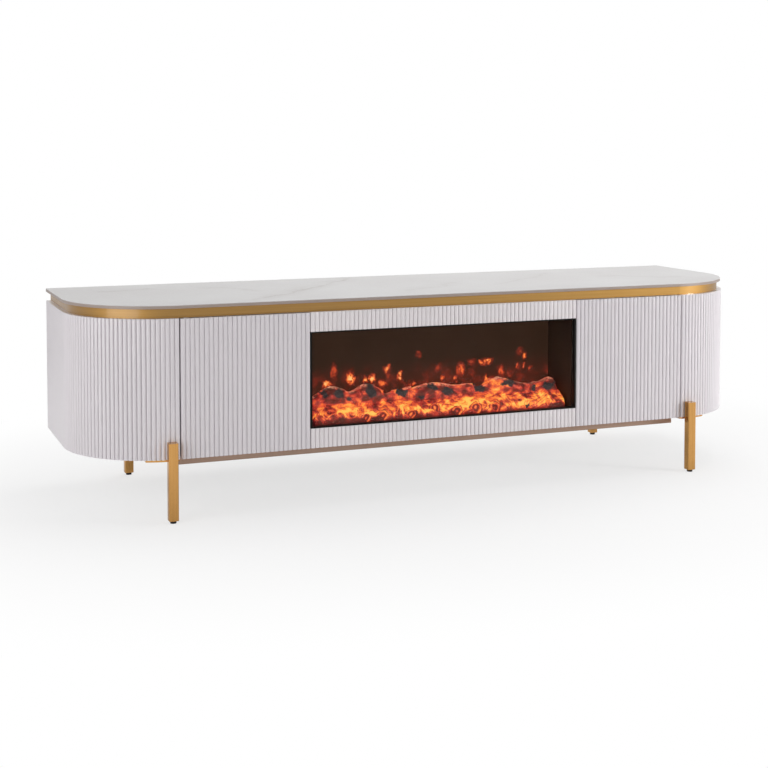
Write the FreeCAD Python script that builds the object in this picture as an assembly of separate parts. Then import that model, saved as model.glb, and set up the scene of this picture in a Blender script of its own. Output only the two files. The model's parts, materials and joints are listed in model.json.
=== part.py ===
import FreeCAD, Part
import math
import os

# Fireplace TV stand. Millimetres, +Z up, front towards -Y, origin on the floor under the middle.

V = FreeCAD.Vector

# Overall sizes
length = 2000.0
depth = 540.0
height = 552.0
floor_gap = 158.0

# Boards and panels
slab_thickness = 9.0
slab_corner_radius = 262.0
slab_edge_round = 1.2
band_height = 25.0
band_inset = 13.0
band_thickness = 1.5
board = 18.0
panel_thickness = 19.0
back_thickness = 9.0
reed_pitch = 12.2
reed_depth = 4.6
reed_slot = 1.6
reed_shoulder = 2.2
shoulder_drop = 2.8
shoulder_lean = math.radians(85)

# Front: the hearth's seams lie this far from the middle, the doors' outer seams this far from the ends
hearth_seam = 396.0
end_width = 256.0
hearth_gap = 1.5
seam_gap = 3.0
fascia_height = 52.0
partition_lap = 3.0

# Doors and their pivots
door_thickness = 18.0
door_end_gap = 1.0
pivot_inset = 16.0
pivot_depth = 12.5
swing_clearance = 2.0
swing_past_square = math.radians(5)
pin_radius = 3.0
pin_length = 11.0
running_clearance = 0.05
bush_wall = 1.5
bush_length = 14.0
bush_flange = 0.8
bush_flange_rim = 0.8
pivot_plate_thickness = 2.0
pivot_plate_width = 10.0
pivot_plate_seat = 34.0
plate_clearance = 0.5

# Push latches and bumpers
latch_width = 16.0
latch_height = 16.0
latch_length = 52.0
latch_setback = 7.0
latch_top_gap = 14.0
plunger_radius = 3.0
plunger_tip_radius = 4.5
plunger_tip_length = 3.0
plunger_reach = 40.0
plunger_end_room = 6.0
strike_radius = 6.5
strike_thickness = 1.0
strike_clearance = 0.3
bumper_radius = 3.5

# Shelves and back openings
shelf_thickness = 16.0
shelf_height = 154.0
shelf_side_gap = 0.8
shelf_front_setback = 38.0
shelf_pin_radius = 2.5
shelf_pin_seat = 8.0
shelf_pin_reach = 9.0
shelf_pin_margin = 60.0
cable_hole_radius = 30.0
cable_hole_height = 70.0
grommet_wall = 2.0
grommet_flange = 4.0
grommet_flange_thickness = 1.5
access_width = 210.0
access_height = 130.0

# Legs, feet and base rails
leg_width = 25.0
leg_wall = 1.5
leg_corner_radius = 4.0
leg_from_seam = 24.0
leg_overlap = 46.5
plate_thickness = 5.0
plate_outward = 50.0
plate_inward = 11.0
plate_depth = 74.0
plate_edge_inset = 3.0
plate_corner_radius = 12.0
plug_height = 22.0
foot_radius = 8.0
foot_height = 6.5
foot_gap = 0.5
stem_radius = 4.0
stem_length = 20.0
rail_size = 25.0
rail_wall = 1.5
rail_corner_radius = 2.0
rail_setback = 50.0

# Screws
screw_radius = 2.0
screw_head_radius = 3.6
screw_length = 15.0
leg_screw_radius = 2.5
leg_screw_head_radius = 4.5
leg_screw_head = 2.5
leg_screw_length = 16.0
leg_screw_margin = 10.0

# Electric fire
frame_side = 4.5
frame_edge = 4.0
frame_depth = 16.5
glass_thickness = 4.0
glass_lap = 2.5
glass_edge_lap = 2.0
glass_clearance = 0.5
sheet = 1.5
firebox_depth = 190.0
firebox_side_gap = 1.0
screen_thickness = 4.0
screen_setback = 141.0
bed_floor_height = 24.0
bed_front_gap = 6.0
bed_back_gap = 4.0
bed_side_gap = 14.0
bed_edge_height = 24.0
bed_crown = 34.0
bed_wall = 4.0
log_radius = 33.0
log_lift = 34.0
spindle_setback = 22.5
spindle_height = 40.0
shaft_radius = 3.0
vane_reach = 18.0
vane_width = 12.0
vane_thickness = 1.0
vane_pitch = 46.0
vane_turn = 50.0
spindle_end_gap = 2.0
bearing_thickness = 4.0
bearing_inset = 16.0
bearing_width = 30.0
bearing_cap = 14.0
motor_radius = 19.0
motor_length = 20.0
motor_hub_radius = 7.0
motor_hub_length = 6.0
light_width = 12.0
light_thickness = 1.6
light_end_gap = 34.0
lamp_size = 5.0
lamp_height = 1.6
lamp_pitch = 36.0
box_width = 150.0
box_height = 84.0
box_depth = 46.0
box_offset = 190.0
box_floor_height = 76.0
inlet_width = 30.0
inlet_height = 22.0
inlet_depth = 16.0
inlet_wall = 3.0
inlet_pin_radius = 1.6
inlet_pin_spacing = 8.0
inlet_pin_length = 8.0
board_setback = 8.0
board_margin = 6.0
post_radius = 3.0
converter_width = 40.0
converter_height = 16.0

# One overrun serves every cut that passes a face
overrun = 1.0

# Log stations: place along the bed, forward shift in log radii, rise in log radii, girth
left_log_shares = (
    (-1.0, 0.10, 0.02, 0.72), (-0.89, 0.05, 0.17, 0.87), (-0.78, 0.0, 0.32, 1.0),
    (-0.68, -0.05, 0.0, 0.86), (-0.56, -0.10, 0.35, 1.04), (-0.48, -0.03, 0.27, 0.92),
    (-0.41, 0.05, 0.04, 0.70))
middle_log_shares = (
    (-0.37, 0.20, -0.16, 0.60), (-0.22, 0.10, -0.16, 0.72), (-0.03, -0.05, 0.10, 1.0),
    (0.12, 0.0, -0.07, 0.90), (0.24, 0.08, -0.16, 0.72), (0.33, 0.12, 0.08, 0.66))
right_log_shares = (
    (0.38, 0.15, -0.15, 0.62), (0.535, 0.0, 0.20, 1.0), (0.65, 0.03, -0.08, 0.88),
    (0.77, 0.05, -0.25, 0.78), (0.88, 0.0, -0.12, 0.86), (0.98, 0.0, -0.03, 0.86))

# Levels and planes that follow from the sizes above
half_length = length / 2
front = -depth / 2
back = depth / 2
door_seam = half_length - end_width
leg_offset = door_seam + leg_from_seam
body_bottom = floor_gap
body_top = height - slab_thickness - band_height
inside_bottom = body_bottom + board
inside_top = body_top - board
carcass_front = front + panel_thickness
carcass_back = back - back_thickness
panel_start = door_seam + seam_gap / 2
corner_radius = half_length - panel_start
groove_plane = front + reed_depth
door_inner = hearth_seam + hearth_gap / 2
door_outer = door_seam - seam_gap / 2
door_back = front + door_thickness
pivot_x = door_outer - pivot_inset
pivot_y = front + pivot_depth
tail_radius = math.hypot(pivot_inset, door_thickness - pivot_depth)
recess_front = pivot_y + tail_radius + swing_clearance
upper_plate_z = (body_top - pivot_plate_thickness, body_top)
lower_plate_z = (body_bottom, body_bottom + pivot_plate_thickness)
upper_edge = upper_plate_z[0] - plate_clearance - bush_flange
lower_edge = lower_plate_z[1] + bush_flange
bore_radius = pin_radius + running_clearance
bush_radius = bore_radius + bush_wall
inner_wall = (hearth_seam - partition_lap, hearth_seam - partition_lap + board)
outer_wall = (leg_offset - board / 2, leg_offset + board / 2)
fascia_half = hearth_seam - hearth_gap / 2
hearth_bottom = body_bottom + fascia_height
hearth_top = body_top - fascia_height
middle = V(0, 0, 0)
along_x = V(1, 0, 0)
along_y = V(0, 1, 0)
upright = V(0, 0, 1)

os.makedirs("parts", exist_ok=True)


def save(name, shape):
    shape.exportStep("parts/%s.step" % name)


def mirrored(shape):
    return shape.mirror(middle, along_x)


def save_pair(name, shape):
    """Writes the right-hand shape and its mirror image as two nodes."""
    save("right_" + name, shape)
    save("left_" + name, mirrored(shape))


def block(x, y, z):
    """A box between the low and high value along each axis."""
    return Part.makeBox(x[1] - x[0], y[1] - y[0], z[1] - z[0], V(x[0], y[0], z[0]))


def around(centre, width):
    return (centre - width / 2, centre + width / 2)


def rod(radius, start, end):
    return Part.makeCylinder(radius, (end - start).Length, start, end - start)


def joined(shapes):
    whole = shapes[0]
    for shape in shapes[1:]:
        whole = whole.fuse(shape)
    return whole.removeSplitter()


def without(shape, cutters):
    for cutter in cutters:
        shape = shape.cut(cutter)
    return shape


def upright_prism(edges, z):
    """Raises a closed plan outline from z[0] to z[1]."""
    face = Part.Face(Part.Wire(edges))
    face.translate(V(0, 0, z[0]))
    return face.extrude(V(0, 0, z[1] - z[0]))


def line_run(points):
    return [Part.makeLine(a, b) for a, b in zip(points[:-1], points[1:])]


def quarter_arc(centre, radius, start, end):
    """A plan arc between two angles in degrees."""
    angles = [math.radians(a) for a in (start, (start + end) / 2, end)]
    points = [centre + V(radius * math.cos(a), radius * math.sin(a), 0) for a in angles]
    return Part.Arc(*points).toShape()


def plan_edges(half, front_y, back_y, radius):
    """Plan outline with square back corners and round front corners."""
    right = V(half - radius, front_y + radius, 0)
    left = V(radius - half, front_y + radius, 0)
    edges = [quarter_arc(left, radius, 180, 270)]
    edges += line_run([V(left.x, front_y, 0), V(right.x, front_y, 0)])
    edges += [quarter_arc(right, radius, 270, 360)]
    edges += line_run([V(half, right.y, 0), V(half, back_y, 0), V(-half, back_y, 0), V(-half, left.y, 0)])
    return edges


def body_plan(inset, back_y, z):
    """A prism of the body's plan, drawn in by the inset along the front and the ends."""
    edges = plan_edges(half_length - inset, front + inset, back_y, corner_radius - inset)
    return upright_prism(edges, z)


# Reeded faces: low crowns with round shoulders, parted by narrow slots

def reed(crest, along, outward, half_width, slot_depth):
    """One reed under its highest point: its first foot, its outline and its last foot."""
    crown_half = half_width - reed_shoulder * math.sin(shoulder_lean)
    crown_rise = shoulder_drop - reed_shoulder * (1 - math.cos(shoulder_lean))
    tilt = 2 * math.atan(crown_rise / crown_half)
    shoulder_reach = crown_half / math.sin(tilt)
    heart = crest - outward * (shoulder_reach + reed_shoulder)

    def spoke(lean):
        return outward * math.cos(lean) + along * math.sin(lean)

    def arc(centre, radius, start, end):
        return Part.Arc(*[centre + spoke(a) * radius for a in (start, (start + end) / 2, end)]).toShape()

    feet = [crest + along * half_width * side - outward * slot_depth for side in (-1, 1)]
    brows = [crest + along * half_width * side - outward * shoulder_drop for side in (-1, 1)]
    outline = line_run([feet[0], brows[0]])
    outline += [arc(heart + spoke(-tilt) * shoulder_reach, reed_shoulder, -shoulder_lean, -tilt),
                arc(heart, shoulder_reach + reed_shoulder, -tilt, tilt),
                arc(heart + spoke(tilt) * shoulder_reach, reed_shoulder, tilt, shoulder_lean)]
    outline += line_run([brows[1], feet[1]])
    return feet[0], outline, feet[1]


def reed_row(start, end, reeds):
    """Joins reeds along the slots' floor from one end of the row to the other."""
    edges = []
    floor = start
    for first, outline, last in reeds:
        edges += line_run([floor, first]) + outline
        floor = last
    return edges + line_run([floor, end])


def straight_reeds(start, end, outward):
    count = round((end - start).Length / reed_pitch)
    step = (end - start) / count
    along = step / step.Length
    half_width = (step.Length - reed_slot) / 2
    crests = [start + step * (i + 1 / 2) + outward * reed_depth for i in range(count)]
    return reed_row(start, end, [reed(crest, along, outward, half_width, reed_depth) for crest in crests])


def corner_reeds(centre, radius, start, end):
    sweep = math.radians(end - start)
    count = round(radius * sweep / reed_pitch)
    half_step = sweep / count / 2
    floor_radius = radius - reed_depth
    half_width = floor_radius * math.sin(half_step) - reed_slot / 2
    slot_depth = radius - math.sqrt(floor_radius ** 2 - half_width ** 2)

    def spoke(steps):
        angle = math.radians(start) + half_step * steps
        return V(math.cos(angle), math.sin(angle), 0)

    reeds = []
    for i in range(count):
        outward = spoke(2 * i + 1)
        along = upright.cross(outward)
        reeds.append(reed(centre + outward * radius, along, outward, half_width, slot_depth))
    return reed_row(centre + spoke(0) * floor_radius, centre + spoke(2 * count) * floor_radius, reeds)


def reeded_front(x, back_y, z):
    start = V(x[0], groove_plane, 0)
    end = V(x[1], groove_plane, 0)
    edges = straight_reeds(start, end, -along_y)
    edges += line_run([end, V(x[1], back_y, 0), V(x[0], back_y, 0), start])
    return upright_prism(edges, z)


# Top, band and carcass

def top_slab():
    edges = plan_edges(half_length, front, back, slab_corner_radius)
    slab = upright_prism(edges, (height - slab_thickness, height))
    top_edges = [e for e in slab.Edges if e.BoundBox.ZMin > height - slab_thickness / 2]
    return slab.makeFillet(slab_edge_round, top_edges)


def board_recesses(z):
    """Room behind each door for its hinge-side edge to swing into."""
    y = (carcass_front - overrun, recess_front)
    right = block((pivot_x - tail_radius - swing_clearance, outer_wall[0]), y, z)
    return [right, mirrored(right)]


def carcass_board(z):
    whole = body_plan(panel_thickness, carcass_back, z)
    return without(whole, board_recesses((z[0] - overrun, z[1] + overrun)))


def end_panel():
    """Right-hand end: a reeded shell that rounds the front corner and runs to the back."""
    centre = V(panel_start, front + corner_radius, 0)
    inner_x = half_length - panel_thickness
    side_start = V(half_length - reed_depth, centre.y, 0)
    side_end = V(half_length - reed_depth, back, 0)
    edges = corner_reeds(centre, corner_radius, 270, 360)
    edges += straight_reeds(side_start, side_end, along_x)
    edges += line_run([side_end, V(inner_x, back, 0), V(inner_x, centre.y, 0)])
    edges += [quarter_arc(centre, corner_radius - panel_thickness, 360, 270)]
    edges += line_run([V(panel_start, carcass_front, 0), V(panel_start, groove_plane, 0)])
    return upright_prism(edges, (body_bottom, body_top))


def partition(x):
    upright_board = block(x, (front, carcass_back), (inside_bottom, inside_top))
    return upright_board.common(body_plan(panel_thickness, carcass_back, (inside_bottom, inside_top)))


def back_panel(x):
    return block(x, (carcass_back, back), (body_bottom, body_top))


def countersunk_screw(head, direction):
    """A flat-headed screw whose head lies in a pivot plate and whose shank goes into the board."""
    seat = head + direction * pivot_plate_thickness
    cone = Part.makeCone(screw_head_radius, screw_radius, pivot_plate_thickness, head, direction)
    return joined([cone, rod(screw_radius, seat, head + direction * screw_length)])


# Door pivots: each plate carries a pin and is let into the edge of a carcass board

def pivot_plate(z, pin_direction):
    plate_back = recess_front + pivot_plate_seat
    x = around(pivot_x, pivot_plate_width)
    plate = block(x, (pivot_y, plate_back), z)
    tip = rod(pivot_plate_width / 2, V(pivot_x, pivot_y, z[0]), V(pivot_x, pivot_y, z[1]))
    root = V(pivot_x, pivot_y, z[1] if pin_direction.z > 0 else z[0])
    return joined([plate, tip, rod(pin_radius, root, root + pin_direction * pin_length)])


def pivot_screws(z, direction):
    spacing = pivot_plate_seat / 3
    places = [V(pivot_x, recess_front + spacing * i, z) for i in (1, 2)]
    return [countersunk_screw(place, direction) for place in places]


def bush_sleeve(edge_z, inward):
    mouth = V(pivot_x, pivot_y, edge_z)
    return rod(bush_radius, mouth, mouth + inward * bush_length)


def door_bush(edge_z, inward):
    """Flanged bush let into the top or bottom edge of the door."""
    mouth = V(pivot_x, pivot_y, edge_z)
    rim = mouth - inward * bush_flange
    flange = rod(bush_radius + bush_flange_rim, rim, mouth)
    bore = rod(bore_radius, rim - inward * overrun, mouth + inward * (pin_length + overrun))
    return joined([bush_sleeve(edge_z, inward), flange]).cut(bore)


def door(sleeves):
    z = (body_bottom, body_top - door_end_gap)
    leaf = reeded_front((door_inner, door_outer), door_back, z)
    notch_half = pivot_plate_width / 2 + plate_clearance
    notch_x = (pivot_x - notch_half, door_outer + overrun)
    notch_front = pivot_y - notch_half - pivot_inset * math.tan(swing_past_square)
    notch_y = (notch_front, door_back + overrun)
    notches = [block(notch_x, notch_y, (upper_edge, z[1] + overrun)),
               block(notch_x, notch_y, (z[0] - overrun, lower_edge))]
    return without(leaf, notches + sleeves)


upper_plate = pivot_plate(upper_plate_z, -upright)
lower_plate = pivot_plate(lower_plate_z, upright)
upper_screws = pivot_screws(body_top, -upright)
lower_screws = pivot_screws(body_bottom, upright)
plate_screws = upper_screws + lower_screws
plates = [without(upper_plate, upper_screws), without(lower_plate, lower_screws)]
bushes = [door_bush(upper_edge, -upright), door_bush(lower_edge, upright)]
sleeves = [bush_sleeve(upper_edge, -upright), bush_sleeve(lower_edge, upright)]

save_pair("door", door(sleeves))
save_pair("door_bushes", Part.makeCompound(bushes))
save_pair("door_pivots", Part.makeCompound(plates))
save("pivot_screws", Part.makeCompound(plate_screws + [mirrored(s) for s in plate_screws]))

# Push latch beside the inner partition, its strike on the door, and the door bumpers

latch_x = inner_wall[1] + latch_width / 2
latch_z = inside_top - latch_top_gap - latch_height / 2
latch_front = carcass_front + latch_setback
plunger_tip = door_back + strike_thickness + strike_clearance
plunger_end = plunger_tip + plunger_reach


def latch_point(y):
    return V(latch_x, y, latch_z)


latch_case = block(around(latch_x, latch_width), (latch_front, latch_front + latch_length),
                   around(latch_z, latch_height))
latch_bore = rod(plunger_radius + running_clearance, latch_point(latch_front - overrun),
                 latch_point(plunger_end + plunger_end_room))
plunger_pad = rod(plunger_tip_radius, latch_point(plunger_tip), latch_point(plunger_tip + plunger_tip_length))
plunger = joined([plunger_pad, rod(plunger_radius, latch_point(plunger_tip), latch_point(plunger_end))])
strike = rod(strike_radius, latch_point(door_back), latch_point(door_back + strike_thickness))
save_pair("latch_case", latch_case.cut(latch_bore))
save_pair("latch_plunger", plunger)
save_pair("door_strike", strike)

bumper_x = (door_inner + inner_wall[1]) / 2
bumper_levels = [inside_bottom + latch_top_gap, (inside_bottom + inside_top) / 2]
bumpers = [rod(bumper_radius, V(bumper_x, door_back, z), V(bumper_x, carcass_front, z))
           for z in bumper_levels]
save("door_bumpers", Part.makeCompound(bumpers + [mirrored(b) for b in bumpers]))

# Shelves and their pins

shelf_z = (inside_bottom + shelf_height, inside_bottom + shelf_height + shelf_thickness)
shelf_x = (inner_wall[1] + shelf_side_gap, outer_wall[0] - shelf_side_gap)
shelf_y = (carcass_front + shelf_front_setback, carcass_back - shelf_side_gap)
save_pair("shelf", block(shelf_x, shelf_y, shelf_z))

pin_level = shelf_z[0] - shelf_pin_radius
inner_pins = []
outer_pins = []
for y in (shelf_y[0] + shelf_pin_margin, shelf_y[1] - shelf_pin_margin):
    inner_pins.append(rod(shelf_pin_radius, V(inner_wall[1] - shelf_pin_seat, y, pin_level),
                          V(inner_wall[1] + shelf_pin_reach, y, pin_level)))
    outer_pins.append(rod(shelf_pin_radius, V(outer_wall[0] + shelf_pin_seat, y, pin_level),
                          V(outer_wall[0] - shelf_pin_reach, y, pin_level)))
bay_pins = inner_pins + outer_pins
save("shelf_pins", Part.makeCompound(bay_pins + [mirrored(p) for p in bay_pins]))
save_pair("inner_partition", without(partition(inner_wall), inner_pins))
save_pair("outer_partition", without(partition(outer_wall), outer_pins))

# Ends, fascias and backs

save_pair("end_panel", end_panel())
fascia_x = (-fascia_half, fascia_half)
save("upper_fascia", reeded_front(fascia_x, carcass_front, (hearth_top, body_top)))
save("lower_fascia", reeded_front(fascia_x, carcass_front, (body_bottom, hearth_bottom)))

cable_x = (inner_wall[1] + outer_wall[0]) / 2
cable_z = inside_bottom + cable_hole_height
back_inner_y = carcass_back - grommet_flange_thickness


def cable_rod(radius, y):
    return rod(radius, V(cable_x, y[0], cable_z), V(cable_x, y[1], cable_z))


cable_hole = cable_rod(cable_hole_radius, (carcass_back - overrun, back + overrun))
grommet = joined([cable_rod(cable_hole_radius, (carcass_back, back)),
                  cable_rod(cable_hole_radius + grommet_flange, (back_inner_y, carcass_back))])
grommet = grommet.cut(cable_rod(cable_hole_radius - grommet_wall, (back_inner_y - overrun, back + overrun)))
save("cable_grommets", Part.makeCompound([grommet, mirrored(grommet)]))
save_pair("back_panel", back_panel((hearth_seam, half_length - panel_thickness)).cut(cable_hole))

box_floor = inside_bottom + box_floor_height
access_x = around(box_offset, access_width)
access_z = around(box_floor + box_height / 2, access_height)
access_hole = block(access_x, (carcass_back - overrun, back + overrun), access_z)
save("centre_back_panel", back_panel((-hearth_seam, hearth_seam)).cut(access_hole))

# Legs: square tube closed at the top, with a welded plate under the body

leg_y = front - leg_width / 2
leg_foot_level = foot_height + foot_gap


def round_tube(width, radius, x, y, z):
    """A square bar with rounded upright edges."""
    bar = block(around(x, width), around(y, width), z)
    return bar.makeFillet(radius, [e for e in bar.Edges if abs(e.tangentAt(e.FirstParameter).z) > 1 / 2])


def leg_plate():
    x = (leg_offset - leg_width / 2 - plate_inward, leg_offset + leg_width / 2 + plate_outward)
    z = (body_bottom - plate_thickness, body_bottom)
    plate = block(x, (front, front + plate_depth), z)
    plate = plate.makeFillet(plate_corner_radius,
                             [e for e in plate.Edges if abs(e.tangentAt(e.FirstParameter).z) > 1 / 2])
    plate = plate.common(body_plan(plate_edge_inset, back, z))
    neck = block(around(leg_offset, leg_width - leg_corner_radius * 2),
                 (front - leg_wall, front + plate_depth / 2), z)
    return joined([plate, neck])


def leg():
    leg_top = body_bottom + leg_overlap
    tube = round_tube(leg_width, leg_corner_radius, leg_offset, leg_y, (leg_foot_level, leg_top))
    hollow = round_tube(leg_width - leg_wall * 2, leg_corner_radius - leg_wall, leg_offset, leg_y,
                        (leg_foot_level - overrun, leg_top - leg_wall))
    return joined([tube.cut(hollow), leg_plate()])


def leg_screw(place):
    head = rod(leg_screw_head_radius, place - upright * leg_screw_head, place)
    return joined([head, rod(leg_screw_radius, place, place + upright * leg_screw_length)])


def leg_screw_places():
    level = body_bottom - plate_thickness
    x_inner = leg_offset - leg_width / 2 - plate_inward + leg_screw_margin
    x_outer = leg_offset + leg_width / 2 + plate_outward - leg_screw_margin
    y_near = front + panel_thickness + leg_screw_margin
    y_far = front + plate_depth - leg_screw_margin
    return [V(x_inner, y_near, level), V(x_inner, y_far, level), V(leg_offset, y_far, level),
            V(x_outer, y_far, level)]


def to_rear(shape):
    return shape.mirror(middle, along_y)


front_screws = [leg_screw(p) for p in leg_screw_places()]
front_leg = without(leg(), front_screws)
right_screws = front_screws + [to_rear(s) for s in front_screws]
leg_screws = right_screws + [mirrored(s) for s in right_screws]
save("front_right_leg", front_leg)
save("front_left_leg", mirrored(front_leg))
save("rear_right_leg", to_rear(front_leg))
save("rear_left_leg", mirrored(to_rear(front_leg)))
save("leg_screws", Part.makeCompound(leg_screws))

# Levelling feet, each turning in a threaded plug in the leg's open end

foot_base = V(leg_offset, leg_y, 0)
foot_top = foot_base + upright * foot_height
stem = rod(stem_radius, foot_top, foot_top + upright * stem_length)
foot = joined([rod(foot_radius, foot_base, foot_top), stem])
plug = round_tube(leg_width - leg_wall * 2, leg_corner_radius - leg_wall, leg_offset, leg_y,
                  (leg_foot_level, leg_foot_level + plug_height))
plug = plug.cut(rod(stem_radius + running_clearance, foot_base, foot_base + upright * height))
right_plugs = [plug, to_rear(plug)]
save("leg_plugs", Part.makeCompound(right_plugs + [mirrored(p) for p in right_plugs]))
save("front_right_foot", foot)
save("front_left_foot", mirrored(foot))
save("rear_right_foot", to_rear(foot))
save("rear_left_foot", mirrored(to_rear(foot)))

# Base rails: square tube under the body, between the leg plates


def rail():
    half = leg_offset - leg_width / 2 - plate_inward - plate_clearance
    y = (front + rail_setback, front + rail_setback + rail_size)
    z = (body_bottom - rail_size, body_bottom)
    tube = block((-half, half), y, z)
    tube = tube.makeFillet(rail_corner_radius, [e for e in tube.Edges if e.Length > half])
    bore = block((-half - overrun, half + overrun), (y[0] + rail_wall, y[1] - rail_wall),
                 (z[0] + rail_wall, z[1] - rail_wall))
    return tube.cut(bore)


save("front_base_rail", rail())
save("rear_base_rail", to_rear(rail()))

# Top stack and carcass boards, cut for what is let into them

band_z = (body_top, body_top + band_height)
band_core = body_plan(band_inset + band_thickness, back, band_z)
save("top_slab", top_slab())
save("sub_top", band_core)
save("gold_band", body_plan(band_inset, back, band_z).cut(band_core))
upper_insets = [upper_plate, mirrored(upper_plate)] + upper_screws + [mirrored(s) for s in upper_screws]
lower_insets = [lower_plate, mirrored(lower_plate)] + lower_screws + [mirrored(s) for s in lower_screws]
save("carcass_top", without(carcass_board((inside_top, body_top)), upper_insets))
save("carcass_bottom", without(carcass_board((body_bottom, inside_bottom)), lower_insets + leg_screws))

# Electric fire: frame and glass in the front opening

fire_y = (carcass_front - frame_depth, carcass_front)


def hearth_block(side_inset, edge_inset, y):
    half = fascia_half - side_inset
    return block((-half, half), y, (hearth_bottom + edge_inset, hearth_top - edge_inset))


glass_y = (carcass_front - glass_thickness, carcass_front)
rebate_side = frame_side - glass_lap
rebate_edge = frame_edge - glass_edge_lap
fire_frame = hearth_block(0, 0, fire_y)
fire_frame = without(fire_frame, [
    hearth_block(frame_side, frame_edge, (fire_y[0] - overrun, fire_y[1] + overrun)),
    hearth_block(rebate_side, rebate_edge, (glass_y[0], glass_y[1] + overrun))])
save("fire_frame", fire_frame)
save("fire_glass", hearth_block(rebate_side + glass_clearance, rebate_edge + glass_clearance, glass_y))

# Firebox of folded sheet, open to the glass, with a bearing tab for the spindle

firebox_half = inner_wall[0] - firebox_side_gap
firebox_y = (carcass_front, carcass_front + firebox_depth)
fire_floor = inside_bottom + sheet
fire_half = firebox_half - sheet
fire_roof = inside_top - sheet
screen_y = (carcass_front + screen_setback, carcass_front + screen_setback + screen_thickness)
spindle_y = screen_y[1] + spindle_setback
spindle_z = fire_floor + spindle_height
bearing_x = (-fire_half + bearing_inset, -fire_half + bearing_inset + bearing_thickness)


def spindle_point(x):
    return V(x, spindle_y, spindle_z)


firebox = block((-firebox_half, firebox_half), firebox_y, (inside_bottom, inside_top))
firebox = firebox.cut(block((-fire_half, fire_half), (firebox_y[0] - overrun, firebox_y[1] - sheet),
                            (fire_floor, fire_roof)))
bearing = block(bearing_x, around(spindle_y, bearing_width), (fire_floor - sheet, spindle_z + bearing_cap))
bearing = bearing.cut(rod(shaft_radius + running_clearance, spindle_point(bearing_x[0] - overrun),
                          spindle_point(bearing_x[1] + overrun)))
save("firebox", joined([firebox, bearing]))
save("flame_screen", block((-fire_half, fire_half), screen_y, (fire_floor, fire_roof)))

# Ember bed and logs: a crowned moulding on skirts, with the logs nested in it

bed_half = fire_half - bed_side_gap
bed_y = (carcass_front + bed_front_gap, screen_y[0] - bed_back_gap)
bed_middle = (bed_y[0] + bed_y[1]) / 2
bed_edge = fire_floor + bed_floor_height + bed_edge_height


def ember_bed():
    corner = [V(-bed_half, bed_y[0], fire_floor), V(-bed_half, bed_y[0], bed_edge),
              V(-bed_half, bed_y[1], bed_edge), V(-bed_half, bed_y[1], fire_floor)]
    crown = Part.Arc(corner[1], V(-bed_half, bed_middle, bed_edge + bed_crown), corner[2]).toShape()
    edges = line_run(corner[:2]) + [crown] + line_run(corner[2:] + corner[:1])
    moulding = Part.Face(Part.Wire(edges)).extrude(along_x * bed_half * 2)
    hollow = block((-bed_half - overrun, bed_half + overrun), (bed_y[0] + bed_wall, bed_y[1] - bed_wall),
                   (fire_floor - overrun, fire_floor + bed_floor_height))
    return moulding.cut(hollow)


def log(station_shares):
    rings = []
    for along, forward, rise, girth in station_shares:
        centre = V(along * bed_half, bed_middle, bed_edge + log_lift) + V(0, forward, rise) * log_radius
        rings.append(Part.Wire(Part.makeCircle(girth * log_radius, centre, along_x)))
    return Part.makeLoft(rings, True, False)


logs = [log(shares) for shares in (left_log_shares, middle_log_shares, right_log_shares)]
for name, shape in zip(("left_log", "middle_log", "right_log"), logs):
    save(name, shape)
save("ember_bed", without(ember_bed(), logs))

# Flame effect: a shaft with reflector vanes turned by a small motor, over lamp strips

motor_x = (fire_half - motor_length, fire_half)
hub_x = motor_x[0] - motor_hub_length
motor = joined([rod(motor_radius, spindle_point(motor_x[0]), spindle_point(motor_x[1])),
                rod(motor_hub_radius, spindle_point(hub_x), spindle_point(motor_x[0]))])
shaft_bore = rod(shaft_radius + running_clearance, spindle_point(hub_x - overrun), spindle_point(motor_x[0]))
save("flicker_motor", motor.cut(shaft_bore))


def flicker_spindle():
    shaft = rod(shaft_radius, spindle_point(bearing_x[0] - spindle_end_gap),
                spindle_point(motor_x[0] - spindle_end_gap))
    first = bearing_x[1] + vane_width
    count = int((hub_x - vane_width - first) / vane_pitch)
    pieces = [shaft]
    for i in range(count + 1):
        vane = block(around(first + vane_pitch * i, vane_width), around(spindle_y, vane_reach * 2),
                     around(spindle_z, vane_thickness))
        vane.rotate(spindle_point(0), along_x, vane_turn * i)
        pieces.append(vane)
    return joined(pieces)


save("flicker_spindle", flicker_spindle())


def lamp_strip(y):
    half = fire_half - light_end_gap
    top = fire_floor + light_thickness
    strip = block((-half, half), around(y, light_width), (fire_floor, top))
    count = int((half - lamp_size) / lamp_pitch)
    lamps = [block(around(lamp_pitch * i, lamp_size), around(y, lamp_size), (top, top + lamp_height))
             for i in range(-count, count + 1)]
    return joined([strip] + lamps)


save("lamp_strips", Part.makeCompound([lamp_strip(bed_middle), lamp_strip(spindle_y)]))

# Control box behind the firebox, with its board and the mains inlet

box_x = around(box_offset, box_width)
box_y = (firebox_y[1], firebox_y[1] + box_depth)
box_z = (box_floor, box_floor + box_height)
inlet_x = box_offset
inlet_z = box_floor + box_height / 2


def shrunk(span, wall):
    return (span[0] + wall, span[1] - wall)


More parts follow.
